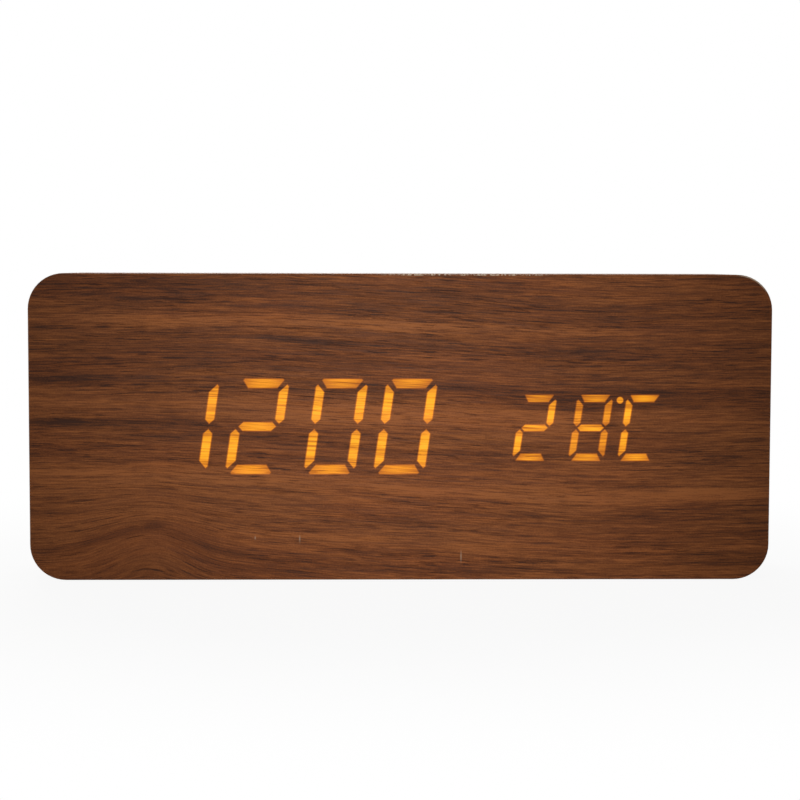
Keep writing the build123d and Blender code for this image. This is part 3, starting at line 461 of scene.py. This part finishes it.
# The diffusing film: a thin matt white sheet between the veneer and the light boxes, which
# evens out the light of each bar.
film_finish, film = new_finish("diffusing_film")
across, deep, up = film.place()
mottle = film.cloud(across * 0.8, deep, up * 0.8, 3.0, 0.6)
film.surface({"Base Color": mottle.ramp([(0.3, (0.70, 0.70, 0.68)), (0.7, (0.84, 0.84, 0.82))]),
              "Roughness": 0.55 + mottle * 0.3, "Normal": mottle.bump(0.1, 0.00005)})
finish_nodes(film_finish, "diffuser_film")

# The light boxes: two white mouldings with one drafted well for each bar, which keep the
# light of each bar to itself. They are screwed to the display board.
white_finish, white = new_finish("white_moulding_skin")
across, deep, up = white.place()
skin = white.cloud(across * 1.6, deep * 1.6, up * 1.6, 4.0, 0.6)
flow = white.cloud(across * 0.08, deep * 0.3, up * 0.08, 2.0)
cast = (skin * 0.3 + flow * 0.7).ramp([(0.3, (0.62, 0.61, 0.58)), (0.7, (0.78, 0.78, 0.75))])
white.surface({"Base Color": cast, "Roughness": 0.42 + skin * 0.25,
               "Normal": skin.bump(0.12, 0.00006)})
finish_nodes(white_finish, "time_light_box", "temperature_light_box")

# The two circuit boards: glass-fibre laminate with copper tracks that stand faintly raised
# under a green lacquer.
laminate_finish, laminate = new_finish("green_laminate")
across, deep, up = laminate.place()
weave = (laminate.maths("SINE", across * 6.0) * laminate.maths("SINE", up * 6.0)) * 0.5 + 0.5
patch = laminate.cloud(across * 0.07, deep * 0.4, up * 0.07, 1.0)
tracks = abs(laminate.maths("SINE", (across + up * patch.over(0.5)) * 2.4)).rise(0.80, 0.90)
tracks = tracks * laminate.cloud(across * 0.05, 4.0, up * 0.11, 0.0).rise(0.45, 0.5)
lacquer = (tracks * 0.7 + weave * 0.12).ramp([(0.0, (0.008, 0.085, 0.030)),
                                              (1.0, (0.030, 0.190, 0.065))])
laminate.surface({"Base Color": lacquer, "Roughness": 0.30 + weave * 0.06, "Coat Weight": 0.3,
                  "Normal": tracks.bump(0.3, 0.00004)})
finish_nodes(laminate_finish, "display_board", "control_board")

# The light-emitting chips, soldered to the board behind the bars: a clear amber body each.
# Only the chips behind the lit bars shine.
lamp_finish, lamp = new_finish("amber_chip")
across, deep, up = lamp.place()
grit = lamp.cloud(across * 2.0, deep * 2.0, up * 2.0)
amber = grit.ramp([(0.2, (0.85, 0.36, 0.03)), (0.8, (1.0, 0.62, 0.12))])
lit_level = 0.3
shining = read_out(across, up).over(lit_level)
lamp.surface({"Base Color": amber, "Roughness": 0.22 + grit * 0.1,
              "Emission Color": shining.blend((0, 0, 0, 1), amber), "Emission Strength": 1.5})
finish_nodes(lamp_finish, "time_leds", "temperature_leds")

# The driver chips behind the display and the control chip: black moulded resin, with a row
# of tinned leads along both long sides.
chip_half_width = 2.0
for name in ("driver_chips", "control_chip"):
    resin_finish, resin = new_finish("resin_and_leads_of_" + name)
    across, deep, up = resin.place()
    low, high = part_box(name)
    middle_height = (low.z + high.z) / 2 * 1000
    lead = abs(up - middle_height).over(chip_half_width)
    dust = resin.cloud(across * 3.0, deep * 3.0, up * 3.0, 3.0)
    body = dust.ramp([(0.3, (0.012, 0.012, 0.013)), (0.8, (0.030, 0.030, 0.032))])
    tin = dust.ramp([(0.3, (0.50, 0.50, 0.51)), (0.8, (0.70, 0.70, 0.70))])
    resin.surface({"Base Color": lead.blend(body, tin), "Metallic": lead,
                   "Roughness": 0.50 + dust * 0.2 - lead * 0.22,
                   "Normal": dust.bump(0.2, 0.00003)})
    finish_nodes(resin_finish, name)

# The small screws inside, which hold the light boxes and both boards: steel with bright
# zinc plating over the streaks of turning.
zinc_finish, zinc = new_finish("zinc_on_steel")
across, deep, up = zinc.place()
turning = zinc.cloud(across * 1.2, deep * 7.0, up * 1.2, 3.0, 0.6)
plating = turning.ramp([(0.3, (0.42, 0.43, 0.45)), (0.7, (0.62, 0.63, 0.64))])
zinc.surface({"Base Color": plating, "Metallic": 1.0, "Roughness": 0.26 + turning * 0.2,
              "Normal": turning.bump(0.15, 0.00004)})
finish_nodes(zinc_finish, "light_box_screws", "display_mount_screws", "control_board_screws")

# The back cover and the battery door: black moulded plastic with a fine spark-eroded texture,
# polished a little here and there by handling.
black_finish, black = new_finish("black_spark_texture")
across, deep, up = black.place()
spark = black.cloud(across * 3.4, deep * 3.4, up * 3.4, 3.0, 0.65)
coarse = black.cloud(across * 1.1, deep * 1.1, up * 1.1, 2.0)
handled = black.cloud(across * 0.03, deep * 0.03, up * 0.03, 2.0).rise(0.35, 0.7)
tint = (spark * 0.5 + coarse * 0.5).ramp([(0.3, (0.006, 0.006, 0.007)),
                                          (0.7, (0.020, 0.020, 0.022))])
black.surface({"Base Color": tint, "Roughness": 0.60 - handled * 0.14 + spark * 0.12,
               "Specular IOR Level": 0.36,
               "Normal": (spark + coarse * 0.5).bump(0.55, 0.00008)})
finish_nodes(black_finish, "back_cover", "battery_door")

# What is black and smooth beside them: the power inlet, the buzzer and the bodies of the
# three switches, all moulded and soldered to the control board.
smooth_finish, smooth = new_finish("black_smooth_moulding")
across, deep, up = smooth.place()
haze = smooth.cloud(across * 1.5, deep * 1.5, up * 1.5, 4.0, 0.6)
rub = smooth.cloud(across * 0.3, deep * 0.3, up * 0.3)
gloss = haze.ramp([(0.3, (0.014, 0.014, 0.015)), (0.7, (0.028, 0.028, 0.030))])
smooth.surface({"Base Color": gloss, "Roughness": 0.30 + rub * 0.18 + haze * 0.05,
                "Normal": haze.bump(0.12, 0.00004)})
finish_nodes(smooth_finish, "power_inlet", "buzzer", "key_switches")


# The three keys: black moulded caps with a dished top for the fingertip, each with a small
# raised mark, a dot to set and an arrow up or down. A flange under the cover holds them in.
def work_on(*pieces):
    """Selects only these pieces. The last one is the active one."""
    bpy.ops.object.select_all(action="DESELECT")
    for piece in pieces:
        piece.select_set(True)
        bpy.context.view_layer.objects.active = piece


def drawn_out(middle, axis, profile, sides, turn=90):
    """A round piece drawn out from a disc. The axis is 0 across or 1 deep, and each step of
    the profile is a place along it and a radius, all in millimetres."""
    place, radius = profile[0]
    spot = [value / 1000 for value in middle]
    spot[axis] = place / 1000
    tip = (0, radians(turn), 0) if axis == 0 else (radians(turn), 0, 0)
    bpy.ops.object.select_all(action="DESELECT")
    bpy.ops.mesh.primitive_circle_add(vertices=sides, radius=radius / 1000, fill_type="NGON",
                                      location=spot, rotation=tip)
    bpy.ops.object.transform_apply(location=True, rotation=True, scale=True)
    bpy.ops.object.mode_set(mode="EDIT")
    for next_place, next_radius in profile[1:]:
        step = [0, 0, 0]
        step[axis] = (next_place - place) / 1000
        bpy.ops.mesh.extrude_region_move(TRANSFORM_OT_translate={"value": step})
        spot[axis] = next_place / 1000
        widen = [next_radius / radius] * 3
        widen[axis] = 1
        bpy.ops.transform.resize(value=widen, center_override=spot)
        place, radius = next_place, next_radius
    bpy.ops.mesh.select_all(action="SELECT")
    bpy.ops.mesh.normals_make_consistent(inside=False)
    bpy.ops.object.mode_set(mode="OBJECT")
    return bpy.context.object


key_rise, down_place, up_place, set_place = 55, 36, 50, 64
cap_sides, smooth_angle = 72, radians(32)
key_profile = [(13.8, 2.0), (13.95, 2.2), (14.8, 2.2), (14.8, 4.68), (14.92, 4.8), (15.58, 4.8),
               (15.7, 4.68), (15.7, 3.62), (18.3, 3.58), (18.58, 3.5), (18.74, 3.34), (18.8, 3.12),
               (18.8, 2.96), (18.72, 2.75), (18.6, 2.3), (18.5, 1.6), (18.46, 0.8), (18.45, 0.2)]
for name, place, sides, turn, reach in (("set_key", set_place, 28, 90, 0.75),
                                        ("up_key", up_place, 3, 90, 1.15),
                                        ("down_key", down_place, 3, -90, 1.15)):
    cap = drawn_out((place, 0, key_rise), 1, key_profile, cap_sides)
    mark = drawn_out((place, 0, key_rise), 1,
                     [(18.3, reach + 0.3), (18.66, reach + 0.14), (18.74, reach),
                      (18.76, reach - 0.3)], sides, turn)
    work_on(mark, cap)
    bpy.ops.object.join()
    bpy.ops.object.shade_smooth_by_angle(angle=smooth_angle)
    cap.name = name + "_cap"
    cap.data.materials.append(smooth_finish)
    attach(cap, name)
    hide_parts(name)

# The plungers of the switches: grey moulded nylon pins. Each stands in the bore of its
# switch and is pushed by the foot of its key.
nylon_finish, nylon = new_finish("grey_nylon")
across, deep, up = nylon.place()
grey = nylon.cloud(across * 1.8, deep * 1.8, up * 1.8, 3.0)
nylon.surface({"Base Color": grey.ramp([(0.3, (0.36, 0.36, 0.35)), (0.7, (0.50, 0.50, 0.48))]),
               "Roughness": 0.42 + grey * 0.15, "Normal": grey.bump(0.1, 0.00004)})
finish_nodes(nylon_finish, "set_plunger", "up_plunger", "down_plunger")

# The plugs on the two boards: cream moulded nylon with faint flow marks, one at each end
# of the ribbon.
cream_finish, cream = new_finish("cream_nylon")
across, deep, up = cream.place()
flow = cream.cloud(across * 0.5, deep * 1.2, up * 0.5, 3.0)
cream.surface({"Base Color": flow.ramp([(0.3, (0.60, 0.55, 0.44)), (0.7, (0.74, 0.70, 0.58))]),
               "Roughness": 0.40 + flow * 0.15, "Normal": flow.bump(0.1, 0.00005)})
finish_nodes(cream_finish, "board_plugs")

# The ribbon cable between the boards: eight grey cores side by side in one jacket, the topmost
# marked red. Painted shade darkens the grooves between the cores.
ribbon_foot, core_pitch, red_start = 47.3, 0.925, 53.78
ribbon_finish, ribbon = new_finish("ribbon_cores")
across, deep, up = ribbon.place()
core = ribbon.maths("FRACT", (up - ribbon_foot) / core_pitch)
groove = abs(core - 0.5).rise(0.30, 0.5)
marked = up.over(red_start)
jacket = marked.blend((0.42, 0.42, 0.42, 1), (0.42, 0.03, 0.02, 1))
# Painted shade: the grooves between the cores are blended towards a deep grey.
jacket = (groove * 0.5).blend(jacket, (0.12, 0.12, 0.12, 1))
ribbon.surface({"Base Color": jacket, "Roughness": 0.40 + groove * 0.2,
                "Normal": (1 - groove).bump(0.5, 0.0001)})
finish_nodes(ribbon_finish, "board_ribbon")

# The battery leads: two thin wires in red insulation, slightly scuffed, which run from the
# ends of the battery bay to the control board.
lead_finish, lead = new_finish("red_lead_jacket")
across, deep, up = lead.place()
scuff = lead.cloud(across * 1.4, deep * 1.4, up * 1.4, 3.0)
lead.surface({"Base Color": scuff.ramp([(0.3, (0.26, 0.014, 0.012)), (0.7, (0.42, 0.03, 0.025))]),
              "Roughness": 0.34 + scuff * 0.16, "Normal": scuff.bump(0.1, 0.00004)})
finish_nodes(lead_finish, "battery_leads")

# The crystal and the capacitors on the control board: drawn aluminium cans, with the fine
# streaks of drawing along them.
can_finish, can = new_finish("drawn_can")
across, deep, up = can.place()
draw = can.cloud(across * 0.5, deep * 5.0, up * 0.5, 3.0, 0.6)
can.surface({"Base Color": draw.ramp([(0.3, (0.52, 0.52, 0.53)), (0.7, (0.74, 0.74, 0.75))]),
             "Metallic": 1.0, "Roughness": 0.24 + draw * 0.16,
             "Normal": draw.bump(0.12, 0.00004)})
finish_nodes(can_finish, "crystal", "capacitors")

# The thermistor: a bead dipped in dark resin, glossy and a little uneven, held on two bent
# legs just behind the air slots.
bead_finish, bead = new_finish("dipped_bead")
across, deep, up = bead.place()
dip = bead.cloud(across * 0.9, deep * 0.9, up * 0.9, 2.0)
bead.surface({"Base Color": dip.ramp([(0.3, (0.02, 0.010, 0.008)), (0.7, (0.06, 0.022, 0.014))]),
              "Roughness": 0.12 + dip * 0.12, "Normal": dip.bump(0.3, 0.00006)})
finish_nodes(bead_finish, "thermistor")

# The battery contacts and those of the inlet: nickel-plated spring steel, rubbed bright
# where cells and plugs slide on it.
plated_finish, plated = new_finish("nickel_plate")
across, deep, up = plated.place()
rubbed = plated.cloud(across * 2.0, deep * 0.6, up * 3.0, 3.0, 0.6)
plated.surface({"Base Color": rubbed.ramp([(0.3, (0.56, 0.54, 0.49)), (0.7, (0.76, 0.74, 0.69))]),
                "Metallic": 1.0, "Roughness": 0.18 + rubbed * 0.2,
                "Normal": rubbed.bump(0.1, 0.00003)})
finish_nodes(plated_finish, "battery_plates", "battery_springs", "inlet_contacts")

# The cells: three side by side, each turned end for end from its neighbour. They are bare
# metal at both ends, in a plain coloured film that has a pale band at the positive end.
cell_axis, cell_radius, cell_pitch = 10.55, 5.25, 11.0
bay_place, bay_rise, cell_start = -42.0, 43, 21.2
band_start, cap_start, foot_start, cell_sides = -12.0, -19.6, 21.0, 64
cell_finish, cell = new_finish("cell_jacket_film")
across, deep, up = cell.place()
scuff = cell.cloud(across * 0.7, deep * 0.7, up * 0.7, 3.0, 0.6)
turned_over = abs(up - bay_rise).under(cell_pitch / 2)
along = (across - bay_place) * (1 - turned_over * 2)
jacket = scuff.ramp([(0.3, (0.018, 0.055, 0.045)), (0.7, (0.030, 0.085, 0.070))])
band = along.under(band_start)
jacket = band.blend(jacket, (0.50, 0.50, 0.48, 1))
bare = along.over(foot_start).most(along.under(cap_start))
cell.surface({"Base Color": bare.blend(jacket, (0.62, 0.61, 0.58, 1)), "Metallic": bare,
              "Roughness": 0.24 + scuff * 0.14, "Normal": scuff.bump(0.08, 0.00005)})
cell_profile = [(0.0, 3.7), (0.12, 3.9), (0.24, 4.0), (0.24, 4.55), (0.08, 4.72), (0.12, 4.95),
                (0.4, 5.2), (0.8, cell_radius), (42.7, cell_radius), (43.1, 5.2), (43.38, 4.95),
                (43.42, 4.7), (43.26, 4.5), (43.2, 4.3), (43.2, 2.5), (43.4, 2.1), (43.55, 1.9),
                (44.25, 1.9), (44.42, 1.8), (44.5, 1.6), (44.5, 0.3)]
cells = []
for row, facing in ((-1, -1), (0, 1), (1, -1)):
    start = bay_place - facing * cell_start
    placed = [(start + facing * along, radius) for along, radius in cell_profile]
    rise = bay_rise + row * cell_pitch
    cells.append(drawn_out((0, cell_axis, rise), 0, placed, cell_sides))
work_on(*cells)
bpy.ops.object.join()
bpy.ops.object.shade_smooth_by_angle(angle=smooth_angle)
battery = bpy.context.object
battery.name = "battery_cell_row"
battery.data.materials.append(cell_finish)
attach(battery, "clock")
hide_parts("battery_cells")

# The screws of the back cover: steel with black zinc, a pan head with a cross recess and a
# ridged shank, each driven into the block through its counterbore.
black_zinc_finish, black_zinc = new_finish("black_zinc")
across, deep, up = black_zinc.place()
wear = black_zinc.cloud(across * 1.3, deep * 1.3, up * 1.3, 3.0, 0.6)
coat = wear.ramp([(0.3, (0.030, 0.030, 0.034)), (0.75, (0.085, 0.085, 0.090))])
black_zinc.surface({"Base Color": coat, "Metallic": 1.0, "Roughness": 0.32 + wear * 0.18,
                    "Normal": wear.bump(0.1, 0.00004)})
seat, crown, shank_radius, root_radius, screw_sides = 16.6, 18.2, 1.25, 1.0, 40
first_ridge, ridge_pitch, ridge_fall, ridge_count = 8.7, 0.55, 0.28, 13
screw_across, screw_low, screw_high = 93.6, 10.4, 75.6
wing_length, wing_depth, wing_width, wing_taper, wing_sink = 3.0, 1.6, 0.66, 0.62, 0.3
wing_place = crown - wing_sink
screw_profile = [(7.6, 0.3), (8.5, 0.85)]
for ridge in range(ridge_count):
    ridge_place = first_ridge + ridge * ridge_pitch
    screw_profile += [(ridge_place, shank_radius), (ridge_place + ridge_fall, root_radius)]
screw_profile += [(16.2, shank_radius), (seat, shank_radius), (seat, 2.38), (16.72, 2.5),
                  (17.35, 2.5), (17.7, 2.38), (17.95, 2.05), (18.1, 1.6), (18.17, 1.1),
                  (crown, 0.6), (crown, 0.2)]
cover_screws = []
for place, rise, turned in ((-screw_across, screw_low, 12), (screw_across, screw_low, 67),
                            (-screw_across, screw_high, 38), (screw_across, screw_high, 81)):
    screw = drawn_out((place, 0, rise), 1, screw_profile, screw_sides)
    for wing in (0, 90):
        bpy.ops.object.select_all(action="DESELECT")
        bpy.ops.mesh.primitive_cube_add(
            size=0.001, location=(place / 1000, wing_place / 1000, rise / 1000),
            rotation=(0, radians(turned + wing), 0), scale=(wing_length, wing_depth, wing_width))
        cutter = bpy.context.object
        work_on(cutter)
        bpy.ops.object.transform_apply(location=True, rotation=True, scale=True)
        for side in cutter.data.polygons:
            side.select = side.normal.y < -0.5
        bpy.ops.object.mode_set(mode="EDIT")
        bpy.ops.transform.resize(value=(wing_taper, 1, wing_taper),
                                 center_override=(place / 1000, 0, rise / 1000))
        bpy.ops.object.mode_set(mode="OBJECT")
        work_on(screw)
        recess = screw.modifiers.new("recess", "BOOLEAN")
        recess.operation = "DIFFERENCE"
        recess.object = cutter
        bpy.ops.object.modifier_apply(modifier="recess")
        bpy.data.objects.remove(cutter)
    cover_screws.append(screw)
work_on(*cover_screws)
bpy.ops.object.join()
bpy.ops.object.shade_smooth_by_angle(angle=smooth_angle)
fasteners = bpy.context.object
fasteners.name = "cover_screw_set"
fasteners.data.materials.append(black_zinc_finish)
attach(fasteners, "clock")
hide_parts("cover_screws")

# The studio: a white world, a pale floor that is white far off and keeps the block's soft
# shadow near it, a soft spot lamp in front of the face and a broad lamp above and behind.
world = bpy.data.worlds.new("studio_air")
bpy.context.scene.world = world
world.use_nodes = True
world.node_tree.nodes.clear()
sky = Tint(world)
seen_plainly = sky.node("LightPath", {}, {}, "Is Camera Ray")
seen_in_gloss = sky.node("LightPath", {}, {}, "Is Glossy Ray")
seen_through = sky.node("LightPath", {}, {}, "Is Transmission Ray")
seen = seen_plainly.most(seen_in_gloss.most(seen_through))
air_light = 0.34
soft_air = sky.node("Background", {}, {"Color": (1, 1, 1, 1), "Strength": air_light})
white_air = sky.node("Background", {}, {"Color": (1, 1, 1, 1), "Strength": 1.0})
sky.node("MixShader", {}, {0: seen, 1: soft_air, 2: white_air}).close("World")

bpy.ops.object.select_all(action="DESELECT")
bpy.ops.mesh.primitive_plane_add(size=12, location=(0, 0, 0))
floor = bpy.context.object
floor.name = "studio_floor"
floor_finish, ground = new_finish("pale_floor")
across, deep, up = ground.place()
near_white, white_start, white_end = 0.92, 100, 240
distance = (across ** 2.0 + deep ** 2.0) ** 0.5
straight = ground.node("LightPath", {}, {}, "Is Camera Ray")
whiten = straight * (distance.rise(white_start, white_end) * (1 - near_white) + near_white)
pale = ground.cloud(across * 0.02, deep * 0.02, 0.0).ramp([(0.3, (0.80, 0.80, 0.79)),
                                                           (0.7, (0.84, 0.84, 0.83))])
matt = ground.node("BsdfPrincipled", {}, {"Base Color": pale, "Roughness": 0.9,
                                          "Specular IOR Level": 0.1})
bright = ground.node("Emission", {}, {"Color": (1, 1, 1, 1), "Strength": 1.0})
ground.node("MixShader", {}, {0: whiten, 1: matt, 2: bright}).close()
floor.data.materials.append(floor_finish)

lamp_aim = Vector((-0.003, 0, 0.045))
for name, kind, spot, power in (("front_lamp", "SPOT", (0.0, -0.60, 0.05), 6.9),
                                ("back_lamp", "AREA", (-0.12, 0.55, 0.45), 3.0)):
    lamp_data = bpy.data.lights.new(name, kind)
    lamp_data.energy = power
    if kind == "SPOT":
        lamp_data.spot_size = radians(32)
        lamp_data.spot_blend = 1.0
        lamp_data.shadow_soft_size = 0.06
    else:
        lamp_data.shape = "SQUARE"
        lamp_data.size = 0.5
    lamp_object = bpy.data.objects.new(name, lamp_data)
    bpy.context.scene.collection.objects.link(lamp_object)
    lamp_object.location = spot
    lamp_object.rotation_euler = (lamp_aim - Vector(spot)).to_track_quat("-Z", "Y").to_euler()
    lamp_object.visible_camera = False
